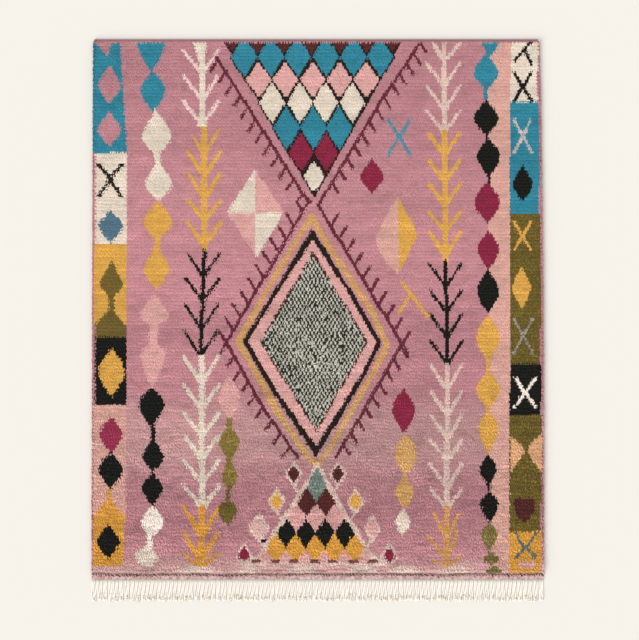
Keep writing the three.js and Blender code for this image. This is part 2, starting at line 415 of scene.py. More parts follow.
# Inside the checkered field the weaver slips a step or misses a knot now and then, and some patches are
# paler.
weaver = np.random.default_rng(21)
field = chart == yarn_names.index("bone")
SLIPS_ABOVE = 0.35
MISSED_KNOTS = 0.05
PALER = 0.3
BLUSH_IN_RIM = 0.35
slipped = unevenness(13, 9, 5, column, row) > SLIPS_ABOVE
patches = 0.6 * unevenness(14, 12, 9, column, row) + 0.5 * unevenness(15, 18, 1, column, row)
missed = weaver.random(chart.shape)
alternate = ((column.astype(int) + row.astype(int) + slipped) % 2 == 0) ^ (missed < MISSED_KNOTS)
tie("charcoal", field & alternate & (weaver.random(chart.shape) > PALER * patches))
tie("charcoal", field & (weaver.random(chart.shape) < -PALER * patches))
rim = (chart == yarn_names.index("maroon")) & (np.abs(column - 115) < 30)
tie("blush", rim & (missed < BLUSH_IN_RIM))

# Pyramid of diamonds at the fringe end, with a cream outline and small satellites linked to it
fill(
    "petal",
    [(117.2, 125.9), (88.2, 152), (80.5, 155.6), (80, 156.4)],
    [(117.2, 125.9), (144.3, 152), (152, 155.6), (153, 156.4)],
)
PYRAMID_FULLNESS = 1.15
for yarn, middles, top, widest, bottom, half in [
    ("blush", (90, 100.5, 110.5, 120.5, 131, 141), 151.5, 155.8, 160, 5.4),
    ("heather", (116.8,), 127.2, 133.4, 138.8, 5.2),
    ("burgundy", (111.7, 121.7), 133.6, 138.2, 142.8, 4.9),
    ("blush", (106.4, 116.6, 126.4), 138.2, 142.6, 147, 5.2),
    ("black", (101.4, 111.4, 121.4, 131.4), 142.6, 147.2, 151.8, 5.1),
    ("amber", (95.6, 105.8, 116, 126.2, 136.6), 147.2, 151.8, 155.8, 5.2),
]:
    for middle in middles:
        diamond(yarn, middle, top, widest, bottom, half, PYRAMID_FULLNESS)
tie("petal", (row > 156) & (row < 157) & (np.abs(column - 116) < 37))
tie("rose", row > 157)
for middle in (85, 95.4, 105, 116, 125.3, 136, 146):
    tie("brick", (row > 155) & (row < 156) & (np.abs(column - middle) < 2.3))
for yarn, middle, top, widest, bottom, half in [
    ("burgundy", 105, 126.9, 129.5, 132, 3.1),
    ("burgundy", 128, 126.9, 129.4, 132, 3.1),
    ("mustard", 96, 134.8, 137.6, 140.2, 3.2),
    ("mustard", 137, 134.8, 137.8, 140.4, 3.2),
    ("shell", 87, 142.2, 145.4, 149, 4.2),
    ("blush", 145.8, 142.7, 145.6, 148.6, 3),
    ("raspberry", 79.2, 151.2, 154, 155.6, 3.4),
    ("raspberry", 154.5, 151.2, 154, 155.6, 3.4),
]:
    diamond("petal", middle, top - 1.4, widest, bottom + 1.4, half + 1.5, 1.1)
    diamond(yarn, middle, top, widest, bottom, half, 1.2)
for satellite, pyramid_side in [
    ((105.2, 132.5), (108.2, 136)),
    ((128, 132.5), (125, 136)),
    ((96.5, 141), (99, 143.8)),
    ((136.5, 141), (134, 143.8)),
    ((88, 149.5), (91, 151.5)),
    ((144.8, 149.5), (141.5, 152)),
]:
    line("petal", [satellite, pyramid_side], 1.0)
tie("black", (row > 149) & (row < 150.1) & (np.abs(column - 89.3) < 1.1))

# Small motifs right of the medallion
cross("sea", 154.8, 166, 24, 34, 1.5)
fill(
    "peach",
    [(159.5, 47), (153, 52.5), (147.9, 58.5), (148.6, 62), (153, 66.3), (158.5, 69.3)],
    [(159.6, 47), (160, 57), (160.2, 69.3)],
)
fill("mustard", [(159.5, 47), (159.7, 57), (160, 69)], [(159.8, 47), (169.8, 58), (160.6, 69)])
line("mustard", [(161.5, 72.5), (174.5, 82.5)], 1.6)
line("mustard", [(165.5, 76.5), (160, 81)], 1.6)
for motif in [
    ("raspberry", 146, 35.6, 41, 45.8, 6.2, 1.5),
    ("raspberry", 162, 104, 110.3, 117.3, 6.2, 1.4),
    ("gold", 163, 117.4, 123.5, 130, 5.4, 2.0),
    ("gold", 162.5, 129.8, 135, 139.8, 4.5, 1.7),
    ("oat", 161.6, 139.8, 143.8, 147.6, 4.0, 1.8),
]:
    diamond(*motif)
line("gold", [(162.7, 129.3), (162.5, 130.5)], 2)

# Right chain of diamonds
for motif in [
    ("teal", 209, -3, 0, 4.8, 4.9),
    ("teal", 206.5, 4.5, 10, 15, 6.5),
    ("black", 206, 18, 23.5, 28.5, 6.5),
    ("black", 207, 29.5, 34.5, 41, 6),
    ("raspberry", 206, 42.5, 48.5, 54.5, 6.7),
    ("raspberry", 206.5, 57, 62, 68.5, 5.7),
    ("black", 206, 68.5, 75, 81.5, 5.7),
    ("mustard", 206, 82, 88.5, 96, 6.1),
    ("mustard", 206, 98.5, 104.5, 110, 6),
    ("mustard", 206, 110.5, 115.5, 123.5, 5.2),
    ("black", 206, 123.5, 128, 133, 4.5),
    ("black", 206.5, 134.5, 138, 144, 4.8),
    ("fern_green", 206.5, 144, 147.5, 152.5, 4.4),
]:
    diamond(*motif, CHAIN_FULLNESS)
CHAIN_NECK = 1.8
for yarn, neck_column, first, last in [
    ("teal", 207.5, 4, 5.5),
    ("teal", 206, 13.5, 17.8),
    ("black", 206.2, 28, 30.5),
    ("black", 207.3, 40.3, 42.5),
    ("mustard", 206, 95.5, 99),
    ("mustard", 206, 109.5, 111),
    ("black", 206.2, 132.5, 135),
]:
    line(yarn, [(neck_column, first), (neck_column, last)], CHAIN_NECK)
diamond("fern_green", 207.3, 152.6, 154.6, 156.6, 4.6)
diamond("fern_green", 208.8, 156.6, 159.2, 162, 5.8)

# Right border: a stack of plain panels with crosses and diamonds
right_inner = [(220.4, 0.5), (218.6, 18.5), (217.9, 52), (217.3, 96.5), (216.9, 159)]
for yarn, first, last in [
    ("cream", 0.5, 18.5),
    ("teal", 18.5, 52),
    ("loden", 52, 96.5),
    ("black", 96.5, 112),
    ("loden", 112, 146.5),
    ("amber", 146.5, 159),
]:
    inner = [(column_at(right_inner, end), end) for end in (first, last)]
    fill(yarn, inner, [(234.6 if first < 1 else 233.4, first), (233.2, last)])
fill("apricot", [(217.5, 118), (217.5, 129)], [(217.6, 118), (223.5, 121), (224.8, 122.8), (217.6, 129)])
right_side = [(234.2, 117.4), (234.2, 128.8)]
fill("apricot", [(233, 117.4), (227.2, 120.8), (226.6, 122.8), (233, 128.8)], right_side)
fill(
    "maroon",
    [(220.8, 136.4), (219, 138.2), (219.6, 140.5), (224.4, 143.9)],
    [(228.7, 136.4), (230.2, 138.2), (229.8, 140.5), (225.2, 143.9)],
)
fill("rose", [(233.2, 9.6), (233.2, 17)], [(235, 9.6), (235, 17)])
line("black", [(231, 0.5), (222, 6)], 1.4)
line("black", [(227, 3), (230.5, 7.5)], 1.4)
for motif in [
    ("black", 221, 230, 10, 18, 1.4),
    ("ash", 220.5, 229.5, 24, 33.5, 1.2),
    ("mustard", 220, 228.5, 54.5, 62.5, 1.3),
    ("grey", 219.5, 229, 83.5, 93, 1.1),
    ("white", 220, 230.4, 101, 109.3, 1.4),
]:
    cross(*motif)
diamond("black", 224.7, 37, 43, 48.5, 5.5, 1.25)
diamond("mustard", 223.5, 68, 74, 80, 5.3, 1.25)
parted_cross("slate", 220, 230.6, 147.1, 151.5, 154.5, 1.1, 0)
fill("peach", [(223.5, 155.4), (221.5, 156.2), (223, 157.6)], [(228.5, 155.4), (230.5, 156.2), (229, 157.6)])

# The last rows at the fringe end have soft cream patches
for first, last in ((46, 63), (77, 87.5), (101.5, 118), (133, 149), (155, 171), (181.5, 196.5)):
    left = [(first + 3, 157.2), (first, 158.2), (first, 159)]
    right = [(last - 3, 157.2), (last, 158.2), (last, 159)]
    fill("fog", left, right)
tie("rose", row < 0.6)


# Pile of hand-spun dyed wool. Each knot's two cut ends lean towards the fringe end and overlap the next row,
# smooth where the rug is brushed and shaggier, in wavy locks, towards the fringe end.
random = np.random.default_rng(11)
ENDS = 2


def linear(hex_colour):
    """An sRGB hex colour as linear red, green and blue."""
    parts = np.array([int(hex_colour[i:i + 2], 16) for i in (1, 3, 5)]) / 255
    return np.where(parts <= 0.04045, parts / 12.92, ((parts + 0.055) / 1.055) ** 2.4)


knot_column, knot_row = np.meshgrid(np.arange(KNOTS) + 0.5, np.arange(ROWS) + 0.5)
shagginess = np.interp(knot_row, [0, 70, 105, 130, 159], [0.15, 0.3, 0.6, 1.0, 1.0])
here = (knot_column, knot_row)
# An unevenness is given its seed, then how many knots across and rows along it takes to change.
clumps = unevenness(1, 6, 1.4, *here) + 0.6 * unevenness(2, 3, 1.1, *here)
bends = 2.0 * unevenness(32, 10, 6, *here) + 0.6 * unevenness(33, 4, 3, *here)
bent = (knot_column, knot_row + bends)
locks = 0.9 * unevenness(31, 5.5, 0.8, *bent) + 0.6 * unevenness(34, 10, 1.2, *bent)
grooves = 0.6 * unevenness(3, 14, 1.0, *here) + 0.6 * unevenness(11, 5, 1.0, *here)
sideways = unevenness(4, 6, 3, *here) + 0.5 * unevenness(5, 3, 2, *here)
swell = unevenness(6, 30, 18, *here)
waves = unevenness(12, 5, 1.5, *here)
pile_height = 0.0135 + (0.0010 * swell + 0.0010 * clumps + 0.0020 * locks) * shagginess + 0.0006 * grooves
lean = 0.0180 + 0.0040 * clumps * shagginess + 0.0020 * grooves
from_side = np.minimum(knot_column, KNOTS - knot_column)
sway = 0.0042 * sideways * shagginess * (1 - np.exp(-from_side / 2.5))
edge_wander = 1 + 0.5 * unevenness(9, 9, 8, *here)
edge_splay = 0.0010 * edge_wander * (np.exp((knot_column - KNOTS) / 1.2) - np.exp(-knot_column / 1.2))

# Lots of hand-dyed yarn differ, so bands of rows are lighter or darker, and the rose turns towards beige
# in some. The left side has shades of its own, lighter than the right in most rows.
ROSE_LOTS = [  # row, shade on the left, shade on the right, share of beige
    (0, 0.95, 0.95, 0.10),
    (2, 0.90, 0.90, 0.00),
    (13, 0.87, 0.88, 0.00),
    (18, 0.95, 0.92, 0.00),
    (34, 0.95, 0.91, 0.00),
    (44, 1.02, 0.94, 0.04),
    (56, 1.03, 1.00, 0.02),
    (76, 1.07, 1.00, 0.00),
    (88, 0.93, 0.87, 0.00),
    (96, 1.02, 0.97, 0.00),
    (105, 1.00, 0.90, 0.02),
    (111, 1.05, 0.86, 0.22),
    (123, 0.98, 0.88, 0.30),
    (130, 0.96, 0.90, 0.08),
    (138, 0.89, 0.79, 0.00),
    (148, 0.88, 0.86, 0.00),
    (154, 1.02, 1.06, 0.08),
    (158, 1.07, 1.12, 0.40),
]
abrash = 1 + 0.05 * unevenness(7, 60, 5, *here) + 0.04 * unevenness(8, 120, 1.2, *here)
# Painted shade: tufts are darker or lighter with their locks and the grooves between rows, as the pile shades
# itself.
painted_lock_shade = 1 + (0.09 + 0.17 * shagginess) * locks + (0.2 - 0.08 * shagginess) * grooves
# Painted shade: the roots of the tufts are darker where the rows part, a dark line between rows.
painted_root_shade = 0.7 - 0.5 * grooves.clip(-0.4, 1)
lot_row = knot_row + 1.5 * unevenness(10, 25, 6, *here)
lot_rows, left_shades, right_shades, lot_beiges = zip(*ROSE_LOTS)
LEFT_SHADES_END = 50
RIGHT_SHADES_START = 110
to_right = ((knot_column - LEFT_SHADES_END) / (RIGHT_SHADES_START - LEFT_SHADES_END)).clip(0, 1)
rose_shade = np.interp(lot_row, lot_rows, left_shades) * (1 - to_right)
rose_shade += np.interp(lot_row, lot_rows, right_shades) * to_right
rose_beige = np.interp(lot_row, lot_rows, lot_beiges)[..., None]
palette = np.array([linear(colour) for colour in YARNS.values()])
plied = np.array([linear(SECOND_YARN.get(name, colour)) for name, colour in YARNS.items()])


def dyed(names, yarns, rows, columns):
    """Linear colours of yarns by number, in knots given by row and column."""
    colour = yarns[names]
    beige = rose_beige[rows, columns]
    lot = colour * (1 - beige) + linear("#d6c0b0") * beige
    lot = lot * rose_shade[rows, columns][..., None]
    is_rose = (names == yarn_names.index("rose"))[..., None]
    return np.where(is_rose, lot, colour) * abrash[rows, columns][..., None]


def put_in(name, data):
    piece = bpy.data.objects.new(name, data)
    bpy.context.scene.collection.objects.link(piece)
    return piece


def mesh_from(name, points, triangles):
    mesh = bpy.data.meshes.new(name)
    mesh.vertices.add(len(points))
    mesh.vertices.foreach_set("co", np.asarray(points, np.float32).ravel())
    mesh.loops.add(3 * len(triangles))
    mesh.loops.foreach_set("vertex_index", np.asarray(triangles, np.int32).ravel())
    mesh.polygons.add(len(triangles))
    mesh.polygons.foreach_set("loop_start", np.arange(0, 3 * len(triangles), 3, dtype=np.int32))
    mesh.polygons.foreach_set("use_smooth", np.ones(len(triangles), bool))
    mesh.update(calc_edges=True)
    return put_in(name, mesh)


def paint(piece, colours, domain="POINT"):
    attribute = piece.data.attributes.new("yarn", "FLOAT_COLOR", domain)
    opaque = np.concatenate([colours, np.ones((len(colours), 1))], axis=1)
    attribute.data.foreach_set("color", opaque.astype(np.float32).ravel())


def add_node(material, kind, values=None, links=None, **settings):
    """Adds a node with its settings, its sockets' values and what its sockets are linked from."""
    node = material.node_tree.nodes.new(kind)
    for setting, value in settings.items():
        setattr(node, setting, value)
    for socket, value in (values or {}).items():
        node.inputs[socket].default_value = value
    for socket, source in (links or {}).items():
        material.node_tree.links.new(source, node.inputs[socket])
    return node


def new_material(name, roughness, specular):
    material = bpy.data.materials.new(name)
    material.use_nodes = True
    shader = material.node_tree.nodes["Principled BSDF"]
    shader.inputs["Roughness"].default_value = roughness
    shader.inputs["Specular IOR Level"].default_value = specular
    return material, shader


def lead_to(shader, colour, bump=None):
    """Links a colour, and a bump where there is one, to the shader."""
    links = shader.id_data.links
    links.new(colour, shader.inputs["Base Color"])
    if bump:
        links.new(bump.outputs[0], shader.inputs["Normal"])


def dyed_wool(name, scale, darkest, palest, relief, specular):
    """Matt wool in its yarn's colour, with a noise of fibres that shades and raises it."""
    material, shader = new_material(name, 0.95, specular)
    place = add_node(material, "ShaderNodeTexCoord").outputs["Object"]
    dye = add_node(material, "ShaderNodeAttribute", attribute_name="yarn").outputs["Color"]
    fibre = add_node(material, "ShaderNodeTexNoise", {"Scale": scale, "Detail": 2.0}, {"Vector": place})
    height = fibre.outputs["Fac"]
    shades = {"From Min": 0.3, "From Max": 0.7, "To Min": darkest, "To Max": palest}
    shade = add_node(material, "ShaderNodeMapRange", shades, {"Value": height}).outputs["Result"]
    tinted = add_node(material, "ShaderNodeVectorMath", links={0: dye, 1: shade}, operation="MULTIPLY")
    bump = add_node(material, "ShaderNodeBump", {"Strength": relief, "Distance": 0.0008}, {"Height": height})
    lead_to(shader, tinted.outputs[0], bump)
    return material, shader


# Wool is matt with a faint bloom from its fibres; the fibre noise is 1.5 mm, coarser than real, so that
# it shows.
hand_spun_wool, shader = dyed_wool("hand_spun_dyed_wool", 650.0, 0.72, 1.07, 0.35, 0.08)
shader.inputs["Sheen Weight"].default_value = 0.04
shader.inputs["Sheen Roughness"].default_value = 0.6

TUFT_FACES = np.array([
    (2, 1, 0),
    (0, 1, 4), (0, 4, 3), (1, 2, 5), (1, 5, 4), (2, 0, 3), (2, 3, 5),
    (3, 4, 6), (4, 5, 6), (5, 3, 6),
])


def tuft_map():
    """Where the corners of a tuft's faces lie in its cell of the map: root to tip along U, sides along V."""
    root, body, tip = 0.06, 0.55, 0.98
    corners = [[(0.0, 0.1), (0.0, 0.9), (0.05, 0.5)]]
    sides = [(side / 3, (side + 1) / 3) for side in range(3)]
    for low, high in sides:
        corners.append([(root, low), (root, high), (body, high)])
        corners.append([(root, low), (body, high), (body, low)])
    for low, high in sides:
        corners.append([(body, low), (body, high), (tip, (low + high) / 2)])
    return np.array(corners)


# Where the cut ends stand and stray, in knots across and rows along
STAGGER = 0.25
SIDE_STRAY = 0.26
SIDE_MARGIN = 0.4
ROW_STAGGER = 0.18
ROW_STRAY = 0.16
WAVE_DEPTH = 0.45
# Their girth, lean and strays in metres, their turn in radians, and shares of their girth, height and lean
ROOT_RADIUS = 0.0028
BODY_RADIUS = 0.0048
HEIGHT_STRAY = 0.0008
LEAN_STRAY = 0.0016
DRIFT_STRAY = 0.0010
ROLL_STRAY = 0.5
GIRTH_STRAY = 0.08
PLAIN_MARGIN = 0.009
FLATNESS = 0.45
BODY_RISE = 0.86
TIP_RISE = 0.85
ROOT_BACK = 0.6
# Their colours: how many have the second yarn, how much a tint strays, and the painted shade from root to tip
SECOND_SHARE = 0.45
TINT_STRAY = 0.05
PAINTED_DEPTH_SHADES = (1.0, 1.0, 1.0, 1.0, 0.97, 0.97, 1.02)


def pile_piece(name, first, last):
    """The cut ends of the knots in rows first to last, each a soft three-sided lock that ends in a tip."""
    rows = last - first
    shape = (rows, KNOTS, ENDS)
    pick = slice(first, last)
    side = np.broadcast_to(np.array([-1, 1]), shape)
    step = side * random.choice([-1, 1], (rows, KNOTS, 1))
    rough = 0.3 + 0.7 * shagginess[pick, :, None]
    across = knot_column[pick, :, None] + STAGGER * side + random.normal(0, SIDE_STRAY, shape) * rough ** 2
    across = np.clip(across, SIDE_MARGIN, KNOTS - SIDE_MARGIN)
    along = knot_row[pick, :, None] + ROW_STAGGER * step
    along = along + random.uniform(-ROW_STRAY, ROW_STRAY, shape) * rough
    along = along + WAVE_DEPTH * (waves * shagginess)[pick, :, None]
    x, y = on_cloth(across, along)
    height = pile_height[pick, :, None] + random.normal(0, HEIGHT_STRAY, shape)
    reach = lean[pick, :, None] + random.normal(0, LEAN_STRAY, shape) * shagginess[pick, :, None]
    y = np.minimum(y + ROOT_BACK * reach, PLAIN_END - PLAIN_MARGIN)
    drift = (sway + edge_splay)[pick, :, None] + random.normal(0, DRIFT_STRAY, shape)
    roll = random.uniform(-ROLL_STRAY, ROLL_STRAY, shape)
    fullness = random.normal(1, GIRTH_STRAY, shape)

    points = np.zeros(shape + (7, 3))
    for level, (share, rise, radius) in enumerate([(0.0, 0.0, ROOT_RADIUS), (0.5, BODY_RISE, BODY_RADIUS)]):
        for corner in range(3):
            angle = roll + corner * 2 * np.pi / 3
            point = points[..., 3 * level + corner, :]
            point[..., 0] = x + drift * share - radius * fullness * np.sin(angle)
            point[..., 1] = y - reach * share + FLATNESS * radius * fullness * np.cos(angle)
            point[..., 2] = GROUND_TOP + height * rise + FLATNESS * radius * fullness * np.cos(angle)
    points[..., 6, 0] = x + drift
    points[..., 6, 1] = y - reach
    points[..., 6, 2] = GROUND_TOP + height * TIP_RISE
    count = rows * KNOTS * ENDS
    triangles = (TUFT_FACES[None] + 7 * np.arange(count)[:, None, None]).reshape(-1, 3)
    piece = mesh_from(name, points.reshape(-1, 3), triangles)

    chart_row = (HALVES * np.arange(first, last)[:, None, None] + (step + 1) // 2).ravel()
    chart_column = (HALVES * np.arange(KNOTS)[None, :, None] + (side + 1) // 2 + np.zeros(shape, int)).ravel()
    names = chart[chart_row, chart_column]
    at = (chart_row // HALVES, chart_column // HALVES)
    second = random.random((len(names), 1)) < SECOND_SHARE
    colour = np.where(second, dyed(names, plied, *at), dyed(names, palette, *at))
    colour = colour * painted_lock_shade[at][:, None] * random.normal(1, TINT_STRAY, (len(names), 1))
    # Painted shade from root to tip, with the painted root shade at the roots.
    painted_shade = np.tile(PAINTED_DEPTH_SHADES, (len(names), 1))
    painted_shade[:, :3] = painted_root_shade[at][:, None]
    paint(piece, (colour[:, None, :] * painted_shade[:, :, None]).reshape(-1, 3))

    cell = tuft_map()
    u = (np.arange(KNOTS)[None, :, None, None, None] + cell[..., 0]) / KNOTS
    stack = np.arange(rows)[:, None, None, None, None] * ENDS + np.arange(ENDS)[None, None, :, None, None]
    v = (stack + cell[..., 1]) / (rows * ENDS)
    both = np.stack(np.broadcast_arrays(u, v), axis=-1)
    layer = piece.data.uv_layers.new(name="OFBake")
    layer.data.foreach_set("uv", both.astype(np.float32).ravel())

    piece.data.materials.append(hand_spun_wool)
    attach(piece, "root")
    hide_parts("rug")
    return piece


PILE_PIECES = 5
row_ends = np.linspace(0, ROWS, PILE_PIECES + 1).round().astype(int)
for number, (first, last) in enumerate(zip(row_ends, row_ends[1:]), start=1):
    pile_piece(f"pile_rows_{number}", int(first), int(last))


# Woven ground. Cream warp and rose weft hold the knots, whose backs show the design again on the underside.
# Past the last row of knots it goes on as a narrow flat-woven band, part of the same cloth.
BAND_STEPS = (0.009, 0.018, 0.0275, 0.037)
GROUND_LOW = 0.0004
CORE_SHARE = 0.74  # of the pile's height, where the yarns stand so close that they fill it
row_lines = np.concatenate([np.arange(ROWS + 1) * ROW_PITCH, PILE_LENGTH + np.array(BAND_STEPS)])
row_faces = len(row_lines) - 1
line_column, line_down = np.meshgrid(np.arange(KNOTS + 1.0), row_lines)
x, y = on_cloth(line_column, line_down / ROW_PITCH, SELVEDGE_INSET)
under = np.stack([x, y, np.full_like(x, GROUND_LOW)], axis=-1).reshape(-1, 3)
core = np.full_like(x, GROUND_TOP)
filled = (CORE_SHARE - 0.2 * shagginess[1:, 1:]) * pile_height[1:, 1:]
core[1:ROWS, 1:KNOTS] += filled + random.normal(0, 0.0007, (ROWS - 1, KNOTS - 1))
upper = np.stack([x, y, core], axis=-1).reshape(-1, 3)
stride, base = KNOTS + 1, len(under)
corner = (np.arange(row_faces)[:, None] * stride + np.arange(KNOTS)).reshape(-1, 1)
cells = corner + np.array([0, 1, stride + 1, stride])
across_edge = np.arange(KNOTS)[:, None] + np.array([0, base, base + 1, 1])
far_edge = row_faces * stride + np.arange(KNOTS)[:, None] + np.array([0, 1, base + 1, base])
left_edge = np.arange(row_faces)[:, None] * stride + np.array([0, stride, base + stride, base])
right_edge = left_edge[:, ::-1] + KNOTS
faces = np.concatenate([cells, cells[:, ::-1] + base, across_edge, far_edge, left_edge, right_edge])
ground_mesh = bpy.data.meshes.new("rug_ground")
ground_mesh.from_pydata(np.concatenate([under, upper]).tolist(), [], faces.tolist())
ground = put_in("rug_ground", ground_mesh)

weft = linear("#a9707c")
cell_colours = np.broadcast_to(weft, (row_faces * KNOTS, 3)).copy()
cell_row, cell_column = (grid.ravel() for grid in np.indices((ROWS, KNOTS)))
cell_colours[:ROWS * KNOTS] = dyed(chart[::HALVES, ::HALVES].ravel(), palette, cell_row, cell_column)
edge_colours = np.broadcast_to(weft, (len(faces) - 2 * len(cells), 3))
# The top of the packed core, seen only between the tufts, is painted 10% darker as shade.
paint(ground, np.concatenate([cell_colours, cell_colours * 0.9, edge_colours]), "FACE")

# The back of the cloth is firm: knots in ridges 19 mm apart with the weft packed between them.
knotted_back, shader = new_material("knotted_wool_back", 0.95, 0.15)
place = add_node(knotted_back, "ShaderNodeTexCoord").outputs["Object"]
dye = add_node(knotted_back, "ShaderNodeAttribute", attribute_name="yarn").outputs["Color"]
parts = add_node(knotted_back, "ShaderNodeSeparateXYZ", links={"Vector": place})
waves_of = {}
for axis, waves_per_metre in (("Y", 1 / ROW_PITCH), ("X", 2 / KNOT_PITCH)):
    turns = add_node(
        knotted_back, "ShaderNodeMath", {1: 2 * math.pi * waves_per_metre}, {0: parts.outputs[axis]},
        operation="MULTIPLY",
    )
    wave = add_node(knotted_back, "ShaderNodeMath", links={0: turns.outputs[0]}, operation="SINE")
    waves_of[axis] = wave.outputs[0]
relief = add_node(knotted_back, "ShaderNodeMath", links={0: waves_of["Y"], 1: waves_of["X"]}, operation="ADD")
between_rows = add_node(
    knotted_back, "ShaderNodeMapRange", {"From Min": -0.2, "From Max": 0.3}, {"Value": waves_of["Y"]}
)
mixed = add_node(
    knotted_back, "ShaderNodeMix", {"A": (*weft, 1)}, {"Factor": between_rows.outputs["Result"], "B": dye},
    data_type="RGBA",
)
bump = add_node(
    knotted_back, "ShaderNodeBump", {"Strength": 0.8, "Distance": 0.0015}, {"Height": relief.outputs[0]}
)
lead_to(shader, mixed.outputs[2], bump)


def mottled(material, place, noise, spread, first, second, within=None):
    """A colour that turns from the first to the second in patches, and only within what is given."""
    patch = add_node(material, "ShaderNodeTexNoise", noise, {"Vector": place}).outputs["Fac"]
    share = add_node(material, "ShaderNodeMapRange", spread, {"Value": patch}).outputs["Result"]
    if within:
        overlap = add_node(material, "ShaderNodeMath", links={0: within, 1: share}, operation="MULTIPLY")
        share = overlap.outputs[0]
    colours = {"A": (*linear(first), 1), "B": (*linear(second), 1)}
    return add_node(material, "ShaderNodeMix", colours, {"Factor": share}, data_type="RGBA").outputs[2]


# The band is weft-faced plain weave: fine ribs along the warp, 5 mm apart, in dusty rose.
flat_woven, shader = new_material("flat_woven_wool_band", 0.95, 0.15)
place = add_node(flat_woven, "ShaderNodeTexCoord").outputs["Object"]
ribs = {"Scale": 60.0, "Distortion": 1.5, "Detail": 1.0}
weave = add_node(flat_woven, "ShaderNodeTexWave", ribs, {"Vector": place}, bands_direction="X")
specks = {"Scale": 90.0, "Detail": 3.0}
tone = mottled(flat_woven, place, specks, {"From Min": 0.4, "From Max": 0.62}, "#a17a76", "#cfb3ad")
bump = add_node(
    flat_woven, "ShaderNodeBump", {"Strength": 0.7, "Distance": 0.0012}, {"Height": weave.outputs["Fac"]}
)
lead_to(shader, tone, bump)

ground.data.materials.append(knotted_back)
ground.data.materials.append(flat_woven)
ground.data.materials.append(hand_spun_wool)
material_index = np.zeros(len(faces), np.int32)
for surface in (0, len(cells)):
    material_index[surface + ROWS * KNOTS:surface + len(cells)] = 1
material_index[2 * len(cells) + KNOTS:2 * len(cells) + 2 * KNOTS] = 1
material_index[len(cells):len(cells) + ROWS * KNOTS] = 2
ground.data.polygons.foreach_set("material_index", material_index)
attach(ground, "root")
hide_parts("rug")


# Overcast sides. Rose wool is wound over the outermost warps, a wrap every 12 mm, along both sides
# and over the turned edge at the plain end.
WRAP = 0.012
BETWEEN_WRAPS = 0.88


def tube(path, radii, sides):
    """Points and triangles of a closed yarn along a path, as wide and high as each point's two radii say."""
    path, radii = np.asarray(path, float), np.asarray(radii, float)
    forward = np.gradient(path, axis=0)
    forward /= np.linalg.norm(forward, axis=1)[:, None]
    up = np.array([0.0, 0.0, 1.0]) - forward * forward[:, 2:3]
    up /= np.linalg.norm(up, axis=1)[:, None]
    side = np.cross(forward, up)
    angles = np.arange(sides) * 2 * np.pi / sides + np.pi / sides
    ring = np.cos(angles)[None, :, None] * side[:, None] * radii[:, 0, None, None]
    ring = ring + np.sin(angles)[None, :, None] * up[:, None] * radii[:, 1, None, None]
    points = (path[:, None] + ring).reshape(-1, 3)
    rings, triangles = len(path), []
    for i in range(rings - 1):
        for k in range(sides):
            a, b = i * sides + k, i * sides + (k + 1) % sides
            triangles += [(a, a + sides, b), (b, a + sides, b + sides)]
    for k in range(1, sides - 1):
        end = (rings - 1) * sides
        triangles += [(0, k, k + 1), (end, end + k + 1, end + k)]
    return points, np.array(triangles)


def joined(name, tubes):
    points = np.concatenate([t[0] for t in tubes])
    starts = np.cumsum([0] + [len(t[0]) for t in tubes[:-1]])
    triangles = np.concatenate([t[1] + start for t, start in zip(tubes, starts)])
    return mesh_from(name, points, triangles)


def wound_edge(start, end, thickness):
    """A roll of wraps from one place to another, fat where the yarn crosses the top, thin between wraps."""
    length = math.dist(start, end)
    steps = int(length / WRAP) * 2
    share = np.linspace(0, 1, steps + 1)[:, None]
    path = np.array(start) * (1 - share) + np.array(end) * share
    fat = thickness / 2 * np.where(np.arange(steps + 1) % 2 == 0, BETWEEN_WRAPS, 1.0)
    return tube(path, np.stack([fat, fat], axis=1), 6)


left_x, right_x = (
    on_cloth(np.array(side), np.arange(ROWS + 1.0), SELVEDGE_INSET)[0] for side in (0.0, float(KNOTS))
)
EDGE_HEIGHT = 0.0051
SIDE_THICKNESS = 0.0084
PLAIN_THICKNESS = 0.0078
PLAIN_EDGE = PLAIN_END - SELVEDGE_INSET
stations = np.concatenate([[0], np.linspace(1, ROWS, 13).round().astype(int)])
edges = []
for xs in (left_x, right_x):
    for a, b in zip(stations, stations[1:]):
        start = (xs[a], PLAIN_END - a * ROW_PITCH, EDGE_HEIGHT)
        end = (xs[b], PLAIN_END - b * ROW_PITCH, EDGE_HEIGHT)
        edges.append(wound_edge(start, end, SIDE_THICKNESS))
plain_corners = [(x[0], PLAIN_EDGE, EDGE_HEIGHT) for x in (left_x, right_x)]
edges.append(wound_edge(*plain_corners, PLAIN_THICKNESS))
overcast = joined("overcast_edges", edges)
side_points = sum(len(edge[0]) for edge in edges[:-1])
# The wraps over the plain end are darker: a darker yarn, with painted shade along that edge.
wrap_colours = np.repeat([linear("#bb928d"), linear("#7d5852")], [side_points, len(edges[-1][0])], axis=0)
paint(overcast, wrap_colours)
# The wraps are matt wool, with specks 4 mm wide for the twist of the yarn and painted shade between two
# wraps.
overcast_wool, shader = dyed_wool("overcast_rose_wool", 220.0, 0.6, 1.25, 0.5, 0.5)
overcast.data.materials.append(overcast_wool)
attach(overcast, "root")

